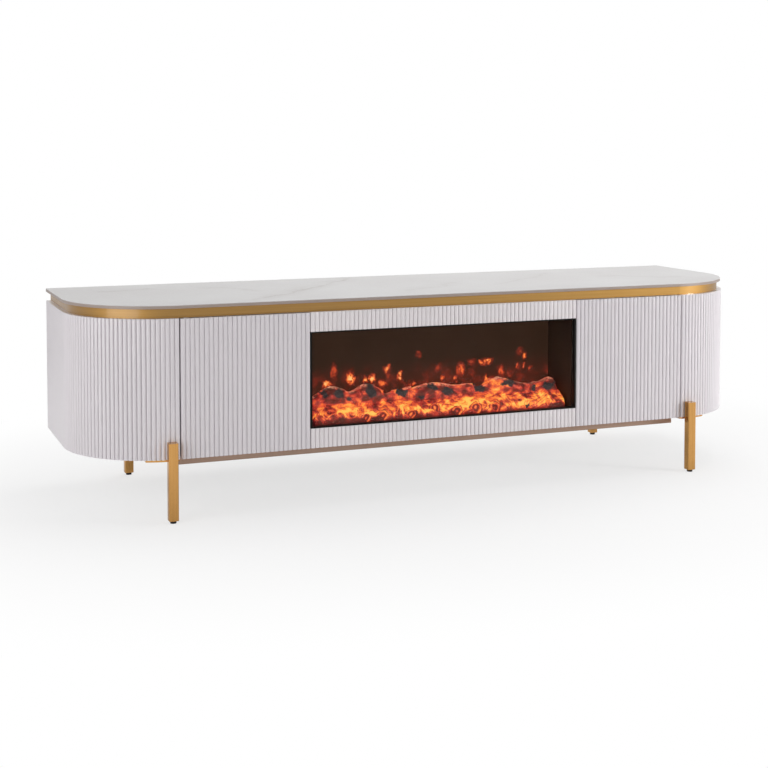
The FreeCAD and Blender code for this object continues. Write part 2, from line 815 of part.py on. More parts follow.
control_box = block(box_x, box_y, box_z)
control_box = control_box.cut(block(shrunk(box_x, sheet), (box_y[0] - overrun, box_y[1] - sheet),
                                    shrunk(box_z, sheet)))
inlet_body = block(around(inlet_x, inlet_width), (box_y[1] - inlet_depth, box_y[1]),
                   around(inlet_z, inlet_height))
inlet_rim = block(around(inlet_x, inlet_width + inlet_wall * 2), (box_y[1], box_y[1] + inlet_wall),
                  around(inlet_z, inlet_height + inlet_wall * 2))
socket_y = (box_y[1] - inlet_depth + inlet_wall, box_y[1] + inlet_wall)
socket = block(around(inlet_x, inlet_width - inlet_wall * 2), (socket_y[0], socket_y[1] + overrun),
               around(inlet_z, inlet_height - inlet_wall * 2))
pins = [rod(inlet_pin_radius, V(x, socket_y[0], inlet_z), V(x, socket_y[0] + inlet_pin_length, inlet_z))
        for x in around(inlet_x, inlet_pin_spacing)]
save("control_box", control_box.cut(inlet_body))
save("mains_inlet", joined([joined([inlet_body, inlet_rim]).cut(socket)] + pins))

board_y = (box_y[0] + board_setback, box_y[0] + board_setback + light_thickness)
board_x = shrunk(box_x, board_margin)
board_z = shrunk(box_z, board_margin)
posts = [rod(post_radius, V(x, firebox_y[1], z), V(x, board_y[1], z))
         for x in shrunk(board_x, post_radius) for z in shrunk(board_z, post_radius)]
converter = block((board_x[0] + board_margin, board_x[0] + board_margin + converter_width),
                  (board_y[1], board_y[1] + converter_height), shrunk(board_z, board_margin))
save("control_board", joined([block(board_x, board_y, board_z), converter] + posts))
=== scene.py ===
import json
import math

import bmesh
import bpy
import numpy as np
from mathutils import Matrix, Vector, noise


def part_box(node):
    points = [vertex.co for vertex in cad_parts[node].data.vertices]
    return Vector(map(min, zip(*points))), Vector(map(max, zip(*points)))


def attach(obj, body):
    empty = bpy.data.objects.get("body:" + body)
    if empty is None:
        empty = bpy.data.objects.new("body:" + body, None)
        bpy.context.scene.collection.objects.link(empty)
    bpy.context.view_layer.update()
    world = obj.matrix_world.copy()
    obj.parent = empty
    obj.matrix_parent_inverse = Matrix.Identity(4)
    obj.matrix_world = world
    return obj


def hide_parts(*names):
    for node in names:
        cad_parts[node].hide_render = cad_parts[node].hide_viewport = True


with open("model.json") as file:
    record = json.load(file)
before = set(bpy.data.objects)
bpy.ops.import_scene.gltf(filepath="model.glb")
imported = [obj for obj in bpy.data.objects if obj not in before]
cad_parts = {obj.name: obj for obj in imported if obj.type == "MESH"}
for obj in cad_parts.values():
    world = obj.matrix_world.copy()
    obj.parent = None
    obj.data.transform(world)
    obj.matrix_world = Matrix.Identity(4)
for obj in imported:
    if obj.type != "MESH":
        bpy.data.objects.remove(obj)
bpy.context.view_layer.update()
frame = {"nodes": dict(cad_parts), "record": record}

nodes = frame["nodes"]
log_sides = ("left", "middle", "right")


# Node building

def put(tree, value, socket):
    """Links an output to the socket, or sets a plain value on it."""
    if isinstance(value, bpy.types.NodeSocket):
        tree.links.new(value, socket)
    else:
        socket.default_value = value


def put_all(tree, values, sockets):
    """Fills the first sockets of a node in their order."""
    for value, socket in zip(values, sockets):
        put(tree, value, socket)


def add(tree, kind, inputs=None, **settings):
    node = tree.nodes.new(kind)
    for name, value in settings.items():
        setattr(node, name, value)
    for name, value in (inputs or {}).items():
        put(tree, value, node.inputs[name])
    return node


def math_node(tree, operation, *values):
    node = add(tree, "ShaderNodeMath", operation=operation)
    put_all(tree, values, node.inputs)
    return node.outputs[0]


def multiply(tree, first, second):
    return math_node(tree, "MULTIPLY", first, second)


def multiply_add(tree, value, factor, offset):
    return math_node(tree, "MULTIPLY_ADD", value, factor, offset)


def largest(tree, values):
    result = values[0]
    for value in values[1:]:
        result = math_node(tree, "MAXIMUM", result, value)
    return result


def vector_node(tree, operation, *values):
    node = add(tree, "ShaderNodeVectorMath", operation=operation)
    put_all(tree, values, node.inputs)
    return node.outputs


def axes(tree, vector):
    """The X, Y and Z of a vector."""
    return add(tree, "ShaderNodeSeparateXYZ", inputs={"Vector": vector}).outputs


def remap(tree, value, low, high, to_low=0.0, to_high=1.0):
    """Smooth step of a value from one range to another."""
    node = add(tree, "ShaderNodeMapRange", interpolation_type="SMOOTHSTEP", inputs={
        "Value": value, "From Min": low, "From Max": high, "To Min": to_low, "To Max": to_high})
    return node.outputs["Result"]


# Places of the two colours and the result among a Mix node's sockets
mix_first = 6
mix_second = 7
mix_result = 2


def mix_colour(tree, factor, first, second, blend="MIX"):
    node = add(tree, "ShaderNodeMix", data_type="RGBA", blend_type=blend)
    put(tree, factor, node.inputs["Factor"])
    put(tree, first, node.inputs[mix_first])
    put(tree, second, node.inputs[mix_second])
    return node.outputs[mix_result]


def mix_shaders(tree, factor, first, second):
    node = add(tree, "ShaderNodeMixShader")
    put_all(tree, (factor, first, second), node.inputs)
    return node.outputs[0]


def colour_ramp(tree, value, stops):
    node = add(tree, "ShaderNodeValToRGB", inputs={"Fac": value})
    ramp = node.color_ramp
    for position, _ in stops[1:-1]:
        ramp.elements.new(position)
    for element, (position, colour) in zip(ramp.elements, stops):
        element.position = position
        element.color = (*colour, 1.0)
    return node.outputs["Color"]


def object_place(tree, stretch=(1.0, 1.0, 1.0)):
    """Coordinates of the part's own frame, scaled along each axis."""
    place = add(tree, "ShaderNodeTexCoord").outputs["Object"]
    mapping = add(tree, "ShaderNodeMapping", inputs={"Vector": place, "Scale": stretch})
    return mapping.outputs["Vector"]


def noise_node(tree, place, scale, detail=3.0, roughness=0.5, distortion=0.0):
    node = add(tree, "ShaderNodeTexNoise", inputs={
        "Vector": place, "Scale": scale, "Detail": detail, "Roughness": roughness,
        "Distortion": distortion})
    return node.outputs


def noise_value(tree, place, scale, detail=3.0, roughness=0.5, distortion=0.0):
    return noise_node(tree, place, scale, detail, roughness, distortion)["Fac"]


def bump(tree, height, strength, distance):
    node = add(tree, "ShaderNodeBump", inputs={
        "Height": height, "Strength": strength, "Distance": distance})
    return node.outputs["Normal"]


def seen_directly(tree):
    """1 for what the camera sees, also in metal and through glass."""
    path = add(tree, "ShaderNodeLightPath").outputs
    return largest(tree, [path["Is Camera Ray"], path["Is Glossy Ray"], path["Is Transmission Ray"]])


def new_group(name, outputs, inputs):
    """A shader group with named sockets; returns the tree and its input and output nodes."""
    group = bpy.data.node_groups.new(name, "ShaderNodeTree")
    for socket, kind in inputs:
        group.interface.new_socket(socket, in_out="INPUT", socket_type=kind)
    for socket, kind in outputs:
        group.interface.new_socket(socket, in_out="OUTPUT", socket_type=kind)
    return group, group.nodes.new("NodeGroupInput"), group.nodes.new("NodeGroupOutput")


def use_group(tree, group, inputs):
    node = tree.nodes.new("ShaderNodeGroup")
    node.node_tree = group
    for name, value in inputs.items():
        put(tree, value, node.inputs[name])
    return node.outputs


def new_material(name):
    material = bpy.data.materials.new(name)
    material.use_nodes = True
    return material, material.node_tree, material.node_tree.nodes["Principled BSDF"]


def finish_shader(tree, shader, inputs):
    for name, value in inputs.items():
        put(tree, value, shader.inputs[name])


# Shared surface effects

def make_mottle():
    """Broad cloudy variation and a fine grain, both from 0 to 1."""
    group, given, out = new_group(
        "Surface mottle", outputs=[("Broad", "NodeSocketFloat"), ("Fine", "NodeSocketFloat")],
        inputs=[("Broad scale", "NodeSocketFloat"), ("Fine scale", "NodeSocketFloat")])
    place = object_place(group)
    broad = noise_value(group, place, given.outputs["Broad scale"], detail=4.0)
    fine = noise_value(group, place, given.outputs["Fine scale"], detail=2.0)
    put(group, remap(group, broad, 0.3, 0.7), out.inputs["Broad"])
    put(group, remap(group, fine, 0.25, 0.75), out.inputs["Fine"])
    return group


def make_brush():
    """Fine streaks of brushed metal; Stretch is small along the brushing and large across it."""
    group, given, out = new_group(
        "Brushed streaks", outputs=[("Streak", "NodeSocketFloat"), ("Smudge", "NodeSocketFloat")],
        inputs=[("Stretch", "NodeSocketVector")])
    place = add(group, "ShaderNodeTexCoord").outputs["Object"]
    stretched = vector_node(group, "MULTIPLY", place, given.outputs["Stretch"])["Vector"]
    streak = noise_value(group, stretched, 1.0, detail=5.0, roughness=0.65)
    smudge = noise_value(group, place, 9.0, detail=4.0)
    put(group, remap(group, streak, 0.3, 0.7), out.inputs["Streak"])
    put(group, remap(group, smudge, 0.35, 0.7), out.inputs["Smudge"])
    return group


mottle = make_mottle()
brush = make_brush()

# How deep the grain of a coat and the streaks of brushed metal stand, in metres
grain_depth = 0.0004
streak_depth = 0.0003
# How much a smudge adds to the streaks where it dulls brushed metal
smudge_share = 0.35


def coated(name, pale, deep, roughness, broad_scale=5.0, fine_scale=700.0, grain=0.04,
           metallic=0.0, coat=0.0, shine=0.5):
    """A moulded, painted or plated finish with cloudy colour, varied gloss and a fine grain."""
    material, tree, shader = new_material(name)
    effect = use_group(tree, mottle, {"Broad scale": broad_scale, "Fine scale": fine_scale})
    finish_shader(tree, shader, {
        "Base Color": mix_colour(tree, effect["Broad"], (*deep, 1.0), (*pale, 1.0)),
        "Roughness": remap(tree, effect["Broad"], 0.0, 1.0, *roughness),
        "Normal": bump(tree, effect["Fine"], grain, grain_depth),
        "Metallic": metallic,
        "Specular IOR Level": shine,
        "Coat Weight": coat,
        "Coat Roughness": 0.12})
    return material


def brushed(name, bright, dark, stretch, roughness, coat=0.0):
    """Plated metal with fine brushing and faint smudges, under a clear lacquer where coat is above 0."""
    material, tree, shader = new_material(name)
    effect = use_group(tree, brush, {"Stretch": stretch})
    smudged = multiply_add(tree, effect["Smudge"], smudge_share, effect["Streak"])
    finish_shader(tree, shader, {
        "Base Color": mix_colour(tree, effect["Streak"], (*dark, 1.0), (*bright, 1.0)),
        "Roughness": remap(tree, smudged, 0.0, 1.0 + smudge_share, *roughness),
        "Normal": bump(tree, effect["Streak"], 0.05, streak_depth),
        "Metallic": 1.0,
        "Coat Weight": coat,
        "Coat Roughness": 0.2,
        "Coat IOR": 1.6})
    return material


# Slab, glass and circuit board

# Veins of the slab: middle in metres, heading in degrees, half length in metres and strength
slab_veins = (
    ((-0.32, 0.00), 45, 0.38, 0.9), ((-0.53, 0.06), -46, 0.11, 0.6), ((-0.79, 0.12), 14, 0.10, 0.6),
    ((0.02, -0.10), 38, 0.20, 0.35), ((0.40, 0.02), 41, 0.26, 0.3), ((0.76, -0.04), -30, 0.16, 0.3))
# Range in which a vein strays about its line, and how wide its dark core and its soft edge are to each side
vein_stray = 0.16
vein_core = 0.016
vein_edge = 0.06
vein_brown = (0.42, 0.38, 0.355, 1.0)
# Brown painted shade on the slab's edge faces below the top
rim_shade_brown = (0.38, 0.305, 0.27, 1.0)
stone_deep = (0.655, 0.635, 0.63, 1.0)
stone_pale = (0.70, 0.69, 0.685, 1.0)
slab_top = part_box("top_slab")[1].z
# Depth under the top at which the painted brown shade of the rim starts, and at which it is full
rim_shade_start = 0.0008
rim_shade_full = 0.0022


def slab_stone():
    """Pale satin slab with faint veins and brown shade painted on its rim."""
    material, tree, shader = new_material("Pale veined slab")
    place = object_place(tree)
    drift = noise_node(tree, place, 7.0, detail=5.0)
    bent = vector_node(tree, "MULTIPLY_ADD", drift["Color"], (vein_stray, vein_stray, 0.0), place)["Vector"]
    lines = []
    for (x, y), heading, reach, strength in slab_veins:
        turned = add(tree, "ShaderNodeMapping", vector_type="TEXTURE", inputs={
            "Vector": bent, "Location": (x + vein_stray / 2, y + vein_stray / 2, 0.0),
            "Rotation": (0.0, 0.0, math.radians(heading))})
        parts = axes(tree, turned.outputs[0])
        across = math_node(tree, "ABSOLUTE", parts["Y"])
        along = math_node(tree, "ABSOLUTE", parts["X"])
        thin = remap(tree, across, 0.0, vein_core, strength, 0.0)
        soft = remap(tree, across, 0.0, vein_edge, strength * 0.4, 0.0)
        fade = remap(tree, along, reach * 0.6, reach, 1.0, 0.0)
        lines.append(multiply(tree, largest(tree, [thin, soft]), fade))
    effect = use_group(tree, mottle, {"Broad scale": 3.2, "Fine scale": 240.0})
    faint = remap(tree, drift["Fac"], 0.30, 0.60, 0.35, 1.0)
    veins = multiply(tree, largest(tree, lines), faint)
    ground = mix_colour(tree, effect["Broad"], stone_deep, stone_pale)
    top = mix_colour(tree, multiply(tree, veins, 0.8), ground, vein_brown)
    # Painted shade: every face more than a little below the top turns brown
    rim_shade = remap(tree, axes(tree, place)["Z"], slab_top - rim_shade_full, slab_top - rim_shade_start, 1.0, 0.0)
    finish_shader(tree, shader, {
        "Base Color": mix_colour(tree, rim_shade, top, rim_shade_brown),
        "Roughness": remap(tree, effect["Fine"], 0.0, 1.0, 0.32, 0.42),
        "Normal": bump(tree, effect["Fine"], 0.03, 0.0003)})
    return material


def hearth_glass():
    """Clear low-reflection pane with a trace of dust."""
    material, tree, shader = new_material("Hearth glass")
    effect = use_group(tree, mottle, {"Broad scale": 7.0, "Fine scale": 300.0})
    finish_shader(tree, shader, {
        "Base Color": (0.96, 0.96, 0.95, 1.0),
        "Transmission Weight": 1.0,
        "IOR": 1.07,
        "Roughness": remap(tree, effect["Broad"], 0.4, 1.0, 0.0, 0.03)})
    return material


def circuit_board():
    """Green lacquered board with a pattern of paler tracks."""
    material, tree, shader = new_material("Green circuit board")
    tracks = add(tree, "ShaderNodeTexBrick", inputs={
        "Vector": object_place(tree), "Scale": 60.0, "Mortar Size": 0.03,
        "Color1": (0.02, 0.09, 0.04, 1.0), "Color2": (0.025, 0.11, 0.05, 1.0),
        "Mortar": (0.10, 0.20, 0.08, 1.0)})
    effect = use_group(tree, mottle, {"Broad scale": 30.0, "Fine scale": 900.0})
    finish_shader(tree, shader, {
        "Base Color": tracks.outputs["Color"],
        "Roughness": remap(tree, effect["Broad"], 0.0, 1.0, 0.35, 0.55),
        "Normal": bump(tree, tracks.outputs["Fac"], 0.2, 0.0002)})
    return material


# Fire: glowing resin, and the screen that the flames play on

bed_low, bed_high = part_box("ember_bed")
bed_half = bed_high.x
log_top = max(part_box(side + "_log")[1].z for side in log_sides)
glow_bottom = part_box("lower_fascia")[1].z
log_rise = log_top - glow_bottom

# Colours from cold to hot, each with its place on the scale from 0 to 1
ember_stops = (
    (0.0, (0.020, 0.005, 0.006)), (0.20, (0.10, 0.006, 0.008)), (0.42, (0.50, 0.034, 0.026)),
    (0.60, (0.86, 0.125, 0.034)), (0.78, (1.0, 0.31, 0.045)), (1.0, (1.0, 0.60, 0.11)))
flame_stops = (
    (0.0, (0.0, 0.0, 0.0)), (0.30, (0.16, 0.010, 0.006)), (0.58, (0.70, 0.075, 0.02)),
    (0.80, (1.0, 0.28, 0.05)), (1.0, (1.0, 0.62, 0.22)))
# Range in which the crackle and the flecks change the heat about its painted value
crackle = 0.9
fleck = 0.24
resin_red = (0.16, 0.03, 0.012, 1.0)
# Orange of the painted highlight on the logs' upward faces
crest_highlight_orange = (0.90, 0.40, 0.24, 1.0)
ash_deep = (0.010, 0.007, 0.007, 1.0)
ash_pale = (0.040, 0.031, 0.030, 1.0)


def ember_resin():
    """Translucent resin lit from below, with charred knobs and a painted pale highlight on the upward faces
    of the logs.
    """
    material, tree, shader = new_material("Glowing ember resin")
    place = object_place(tree)
    painted = {name: add(tree, "ShaderNodeAttribute", attribute_name=name).outputs["Fac"]
               for name in ("glow", "char", "ridge")}
    fine = noise_value(tree, place, 95.0, detail=5.0, roughness=0.65, distortion=1.5)
    speck = noise_value(tree, place, 260.0, detail=2.0)
    heat = math_node(tree, "ADD", painted["glow"], multiply_add(tree, fine, crackle, -crackle / 2))
    flecked = multiply_add(tree, speck, fleck, math_node(tree, "SUBTRACT", heat, fleck / 2))
    # Painted highlight on the logs' upward faces near their tops, broken up by the crackle
    edge = multiply(tree, painted["ridge"], remap(tree, fine, 0.40, 0.60))
    glow = mix_colour(tree, edge, colour_ramp(tree, flecked, ember_stops), crest_highlight_orange)
    char = remap(tree, multiply_add(tree, fine, 1.8, painted["char"]), 1.2, 1.75)
    ash = mix_colour(tree, speck, ash_deep, ash_pale)
    finish_shader(tree, shader, {
        "Base Color": mix_colour(tree, char, resin_red, ash),
        "Roughness": remap(tree, fine, 0.2, 0.8, 0.5, 0.8),
        "Emission Color": mix_colour(tree, char, glow, ash),
        "Emission Strength": 0.95,
        "Normal": bump(tree, fine, 0.5, 0.003)})
    return material


# Flames on the screen: place along the bed in its half lengths, height above the hearth's edge in log rises,
# half width and half height in metres, and strength
flames = (
    (-0.79, 0.90, 0.014, 0.012, 0.95), (-0.73, 1.26, 0.010, 0.025, 0.50), (-0.60, 1.03, 0.016, 0.022, 1.00),
    (-0.49, 0.96, 0.009, 0.012, 0.90), (-0.43, 0.96, 0.011, 0.014, 1.00), (-0.35, 0.82, 0.015, 0.013, 0.70),
    (-0.31, 1.23, 0.012, 0.011, 0.85), (-0.30, 1.01, 0.007, 0.017, 0.45), (-0.21, 1.02, 0.008, 0.012, 0.90),
    (-0.11, 0.76, 0.014, 0.008, 0.75), (-0.06, 1.60, 0.008, 0.011, 0.40), (0.10, 1.18, 0.012, 0.014, 0.40),
    (0.14, 0.88, 0.006, 0.011, 0.70), (0.29, 1.05, 0.014, 0.020, 0.70), (0.24, 0.79, 0.011, 0.010, 0.70),
    (0.38, 1.29, 0.012, 0.011, 0.40), (0.46, 1.25, 0.009, 0.007, 0.80), (0.52, 1.27, 0.015, 0.011, 0.95),
    (0.50, 0.76, 0.006, 0.014, 0.80), (0.63, 0.97, 0.013, 0.017, 0.60), (0.70, 0.86, 0.010, 0.012, 0.45),
    (0.79, 1.52, 0.014, 0.013, 0.40), (0.83, 1.38, 0.008, 0.009, 0.80), (0.77, 1.06, 0.006, 0.009, 0.70),
    (0.82, 1.08, 0.006, 0.009, 0.70), (0.88, 1.00, 0.006, 0.008, 0.60))
# Range in which the flames waver along the screen and up it, in metres
waver_along = 0.034
waver_up = 0.038
# Where a flame starts to fade and where it ends, in its own half sizes
flame_core = 0.25
flame_end = 1.35
# The red glow painted on the screen: full this far below the top of the logs and gone this far above it, in
# log rises
red_glow_below = 0.45
red_glow_above = 0.55
red_glow_colour = (0.070, 0.014, 0.008, 1.0)
# Faint warm glow painted over the whole screen, deep and pale
faint_glow_deep = (0.020, 0.0085, 0.0040, 1.0)
faint_glow_pale = (0.034, 0.0150, 0.0078, 1.0)
screen_dark = (0.010, 0.007, 0.006, 1.0)
screen_warm_under_glow = (0.020, 0.009, 0.006, 1.0)


def flame_spots(tree, place):
    """One fading spot for each flame, at a place that wavers."""
    spots = []
    for along, up, half_width, half_height, strength in flames:
        middle = (along * bed_half + waver_along / 2, 0.0, glow_bottom + up * log_rise + waver_up / 2)
        spot = add(tree, "ShaderNodeMapping", vector_type="TEXTURE", inputs={
            "Vector": place, "Scale": (half_width, 1.0, half_height), "Location": middle})
        flat = vector_node(tree, "MULTIPLY", spot.outputs[0], (1.0, 0.0, 1.0))["Vector"]
        distance = vector_node(tree, "LENGTH", flat)["Value"]
        spots.append(remap(tree, distance, flame_core, flame_end, strength, 0.0))
    return spots


def flame_screen():
    """Dark diffusing sheet with a red glow painted near the logs, a faint warm glow painted over the whole
    screen, and small flames above the logs.
    """
    material, tree, shader = new_material("Smoked flame screen")
    place = object_place(tree)
    waver = noise_node(tree, place, 55.0, detail=4.0, roughness=0.65)["Color"]
    bent = vector_node(tree, "MULTIPLY_ADD", waver, (waver_along, 0.0, waver_up), place)["Vector"]
    near = remap(tree, axes(tree, place)["Z"], log_top - log_rise * red_glow_below,
                 log_top + log_rise * red_glow_above, 1.0, 0.0)
    wisps = remap(tree, noise_value(tree, bent, 34.0), 0.46, 0.76, 0.0, 0.5)
    broken = remap(tree, noise_value(tree, place, 130.0, detail=2.0), 0.30, 0.58, 0.4, 1.0)
    licks = largest(tree, flame_spots(tree, bent) + [multiply(tree, near, wisps)])
    flame = colour_ramp(tree, multiply(tree, licks, broken), flame_stops)
    glow_clouds = noise_value(tree, place, 11.0, detail=4.0)
    # Red glow painted on the screen near the top of the logs, broken into clouds
    red_glow = multiply(tree, near, remap(tree, glow_clouds, 0.25, 0.7, 0.3, 1.0))
    faint_glow = mix_colour(tree, glow_clouds, faint_glow_deep, faint_glow_pale)
    back = mix_colour(tree, red_glow, faint_glow, red_glow_colour)
    grain = noise_value(tree, place, 400.0, detail=2.0)
    finish_shader(tree, shader, {
        # The base colour is painted warmer under the red glow
        "Base Color": mix_colour(tree, red_glow, screen_dark, screen_warm_under_glow),
        "Roughness": remap(tree, grain, 0.2, 0.8, 0.6, 0.75),
        "Specular IOR Level": 0.1,
        "Emission Color": mix_colour(tree, 1.0, back, flame, blend="ADD"),
        "Emission Strength": 1.0})
    return material


# Finish of each piece

lacquer = coated(
    "White reeded lacquer", pale=(0.80, 0.757, 0.785), deep=(0.797, 0.754, 0.782),
    roughness=(0.28, 0.29), broad_scale=1.4, fine_scale=160.0, grain=0.004, coat=0.35)
# Painted light: the fascias get a paler copy of the doors' white lacquer, so they look more brightly lit
lacquer_painted_paler = coated(
    "White lacquer painted paler", pale=(0.88, 0.828, 0.843), deep=(0.877, 0.825, 0.84),
    roughness=(0.28, 0.29), broad_scale=1.4, fine_scale=160.0, grain=0.004, coat=0.35)
board = coated(
    "Matt white board", pale=(0.80, 0.79, 0.78), deep=(0.75, 0.74, 0.73),
    roughness=(0.55, 0.7), fine_scale=500.0)
thin_board = coated(
    "Matt white back board", pale=(0.76, 0.75, 0.74), deep=(0.70, 0.69, 0.68),
    roughness=(0.6, 0.75), fine_scale=350.0, grain=0.1)
# The band's gold is a darker copy of the legs' gold: painted shade under the slab's overhang
gold_band_painted_darker = brushed(
    "Brushed gold band darkened as painted shade", bright=(0.475, 0.265, 0.065), dark=(0.35, 0.187, 0.036),
    stretch=(3.0, 3.0, 900.0), roughness=(0.48, 0.60), coat=0.8)
gold_upright = brushed(
    "Brushed gold leg", bright=(0.70, 0.38, 0.125), dark=(0.56, 0.29, 0.088),
    stretch=(700.0, 700.0, 4.0), roughness=(0.16, 0.26))
# Painted shade: the rail is a darker, rosier copy of the gold, as the gold looks in the shade under the body
rose_gold = brushed(
    "Gold rail darkened as painted shade", bright=(0.44, 0.305, 0.235), dark=(0.35, 0.235, 0.175),
    stretch=(3.0, 700.0, 700.0), roughness=(0.38, 0.52))
black_foot = coated(
    "Black foot", pale=(0.014, 0.013, 0.012), deep=(0.008, 0.008, 0.008),
    roughness=(0.5, 0.7), broad_scale=40.0, fine_scale=900.0, grain=0.2, shine=0.25)
black_plastic = coated(
    "Black moulding", pale=(0.022, 0.022, 0.022), deep=(0.014, 0.014, 0.014),
    roughness=(0.42, 0.6), broad_scale=30.0, fine_scale=1200.0, grain=0.15, shine=0.3)
black_enamel = coated(
    "Satin black enamel", pale=(0.008, 0.007, 0.006), deep=(0.005, 0.0045, 0.004),
    roughness=(0.4, 0.55), broad_scale=12.0, fine_scale=800.0, grain=0.1, shine=0.12)
brown_enamel = coated(
    "Dark firebox enamel", pale=(0.060, 0.036, 0.024), deep=(0.040, 0.024, 0.016),
    roughness=(0.5, 0.65), broad_scale=12.0, fine_scale=800.0, grain=0.1, shine=0.12)
white_enamel = coated(
    "White enamel", pale=(0.78, 0.76, 0.77), deep=(0.72, 0.70, 0.71),
    roughness=(0.3, 0.42), broad_scale=30.0, fine_scale=900.0)
zinc = coated(
    "Zinc plate", pale=(0.72, 0.72, 0.73), deep=(0.55, 0.56, 0.58),
    roughness=(0.28, 0.45), broad_scale=60.0, fine_scale=1500.0, metallic=1.0)
nylon = coated(
    "Natural nylon", pale=(0.80, 0.78, 0.72), deep=(0.72, 0.70, 0.64),
    roughness=(0.4, 0.55), broad_scale=50.0, fine_scale=1200.0)
grey_moulding = coated(
    "Grey moulding", pale=(0.42, 0.42, 0.43), deep=(0.34, 0.34, 0.35),
    roughness=(0.4, 0.55), broad_scale=40.0, fine_scale=1000.0, grain=0.12)
soft_pad = coated(
    "Soft clear pad", pale=(0.74, 0.74, 0.72), deep=(0.66, 0.66, 0.64),
    roughness=(0.2, 0.35), broad_scale=80.0, fine_scale=900.0)
reflector = coated(
    "Bright reflector", pale=(0.86, 0.86, 0.87), deep=(0.74, 0.74, 0.76),
    roughness=(0.12, 0.25), broad_scale=30.0, fine_scale=900.0, metallic=1.0)
motor_can = coated(
    "Plated motor can", pale=(0.55, 0.55, 0.56), deep=(0.42, 0.42, 0.44),
    roughness=(0.3, 0.45), broad_scale=40.0, fine_scale=900.0, metallic=1.0)

finish_of_slot = {
    "white_lacquer": lacquer, "white_board": board, "back_board": thin_board, "pale_stone": slab_stone(),
    "brushed_gold": gold_upright, "rose_gold": rose_gold, "black_foot": black_foot,
    "black_plastic": black_plastic, "white_metal": white_enamel, "zinc_screw": zinc, "nylon": nylon,
    "grey_plastic": grey_moulding, "soft_bumper": soft_pad, "black_metal": black_enamel,
    "clear_glass": hearth_glass(), "smoked_screen": flame_screen(), "ember_resin": ember_resin(),
    "bright_metal": reflector, "motor_metal": motor_can, "circuit_board": circuit_board()}
# Pieces that differ from the others with the same slot
finish_of_node = {
    # The band's darker gold is painted shade
    "gold_band": gold_band_painted_darker, "firebox": brown_enamel,
    # The fascias' paler lacquer is painted light
    "upper_fascia": lacquer_painted_paler, "lower_fascia": lacquer_painted_paler}

for subpart in frame["record"]["subparts"]:
    name = subpart["node"]
    finish = finish_of_node.get(name, finish_of_slot[subpart["material_slot"]])
    for material_slot in nodes[name].material_slots:
        material_slot.material = finish


# Logs and ember bed: the CAD forms with branches, bark and coals worked into their surface

# A fixed seed gives the same bark, coals and char each time
noise.seed_set(3)

# Size of the even mesh's cells, depth of the cracks in bark and between coals, and sides of a branch
ember_voxel = 0.0022
bark_depth = 0.005
coal_depth = 0.004
branch_sides = 20

# Heat of the embers before anything is added, and what each effect then adds or takes away
base_heat = 0.395
patch_heat = 0.55
spot_heat = 0.50
band_heat = 0.25
crack_heat = 0.34
hollow_heat = 0.24
side_chill = 0.16
grain_chill = 0.48

# Charred knobs: place along the bed, height in log rises, half width and half height in metres
knobs = (
    (-0.89, 0.77, 0.009, 0.012), (-0.78, 0.82, 0.017, 0.016), (-0.71, 0.63, 0.008, 0.008),
    (-0.54, 0.82, 0.020, 0.023), (-0.29, 0.71, 0.018, 0.014), (-0.14, 0.54, 0.011, 0.007),
    (-0.04, 0.78, 0.018, 0.011), (0.065, 0.66, 0.024, 0.015), (0.34, 0.67, 0.018, 0.015),
    (0.58, 0.78, 0.031, 0.012), (0.79, 0.55, 0.009, 0.016), (0.91, 0.61, 0.022, 0.015),
    (0.68, 0.14, 0.010, 0.008))

# Branches on each piece: place along, depth and height of both ends as shares, and their radii in metres
branches = {
    "left_log": (((-0.66, 0.45, 0.40), (-0.55, 0.50, 0.86), 0.016, 0.011),
                 ((-0.98, 0.40, 0.45), (-0.80, 0.48, 0.84), 0.015, 0.010)),
    "middle_log": (((-0.42, 0.45, 0.50), (-0.19, 0.47, 0.68), 0.016, 0.017),
                   ((-0.36, 0.42, 0.70), (-0.30, 0.46, 0.78), 0.007, 0.004),
                   ((0.10, 0.42, 0.70), (0.30, 0.46, 0.70), 0.012, 0.010)),
    "right_log": (((0.25, 0.45, 0.50), (0.46, 0.46, 0.62), 0.015, 0.016),
                  ((0.42, 0.38, 0.35), (0.52, 0.46, 0.88), 0.015, 0.010),
                  ((0.60, 0.42, 0.62), (0.80, 0.44, 0.50), 0.012, 0.010)),
    "ember_bed": (((-0.55, 0.55, 0.40), (-0.61, 0.01, 0.12), 0.013, 0.015),
                  ((-0.40, 0.55, 0.42), (-0.48, 0.01, 0.16), 0.015, 0.018),
                  ((-0.20, 0.55, 0.42), (-0.265, 0.01, 0.13), 0.014, 0.016),
                  ((-0.02, 0.60, 0.46), (-0.07, 0.06, 0.24), 0.014, 0.017),
                  ((0.16, 0.55, 0.40), (0.10, 0.01, 0.13), 0.015, 0.018),
                  ((0.30, 0.55, 0.40), (0.25, 0.01, 0.18), 0.016, 0.020),
                  ((0.47, 0.55, 0.40), (0.41, 0.01, 0.15), 0.015, 0.018),
                  ((-0.99, 0.12, 0.16), (-0.66, 0.14, 0.26), 0.014, 0.011),
                  ((0.56, 0.14, 0.22), (0.90, 0.10, 0.16), 0.012, 0.014))}


def bed_point(shares):
    """A point from its shares of the bed's half length, its depth and the rise of the logs."""
    along, back, up = shares
    x = along * bed_half
    y = bed_low.y + back * (bed_high.y - bed_low.y)
    z = glow_bottom + up * log_rise
    return Vector((x, y, z))


def held(value):
    """The value, kept between 0 and 1."""
    return min(1.0, max(0.0, value))


def smooth(value, low, high):
    """Smooth step from 0 at low to 1 at high."""
    share = held((value - low) / (high - low))
    return share * share * (3.0 - 2.0 * share)


def patchy(point, per_metre):
    """A value about 0 that changes over so many patches to the metre."""
    return noise.noise(point * per_metre)


def drifting(point, per_metre, reach):
    """A shift of up to reach that changes over so many patches to the metre."""
    return noise.noise_vector(point * per_metre) * reach


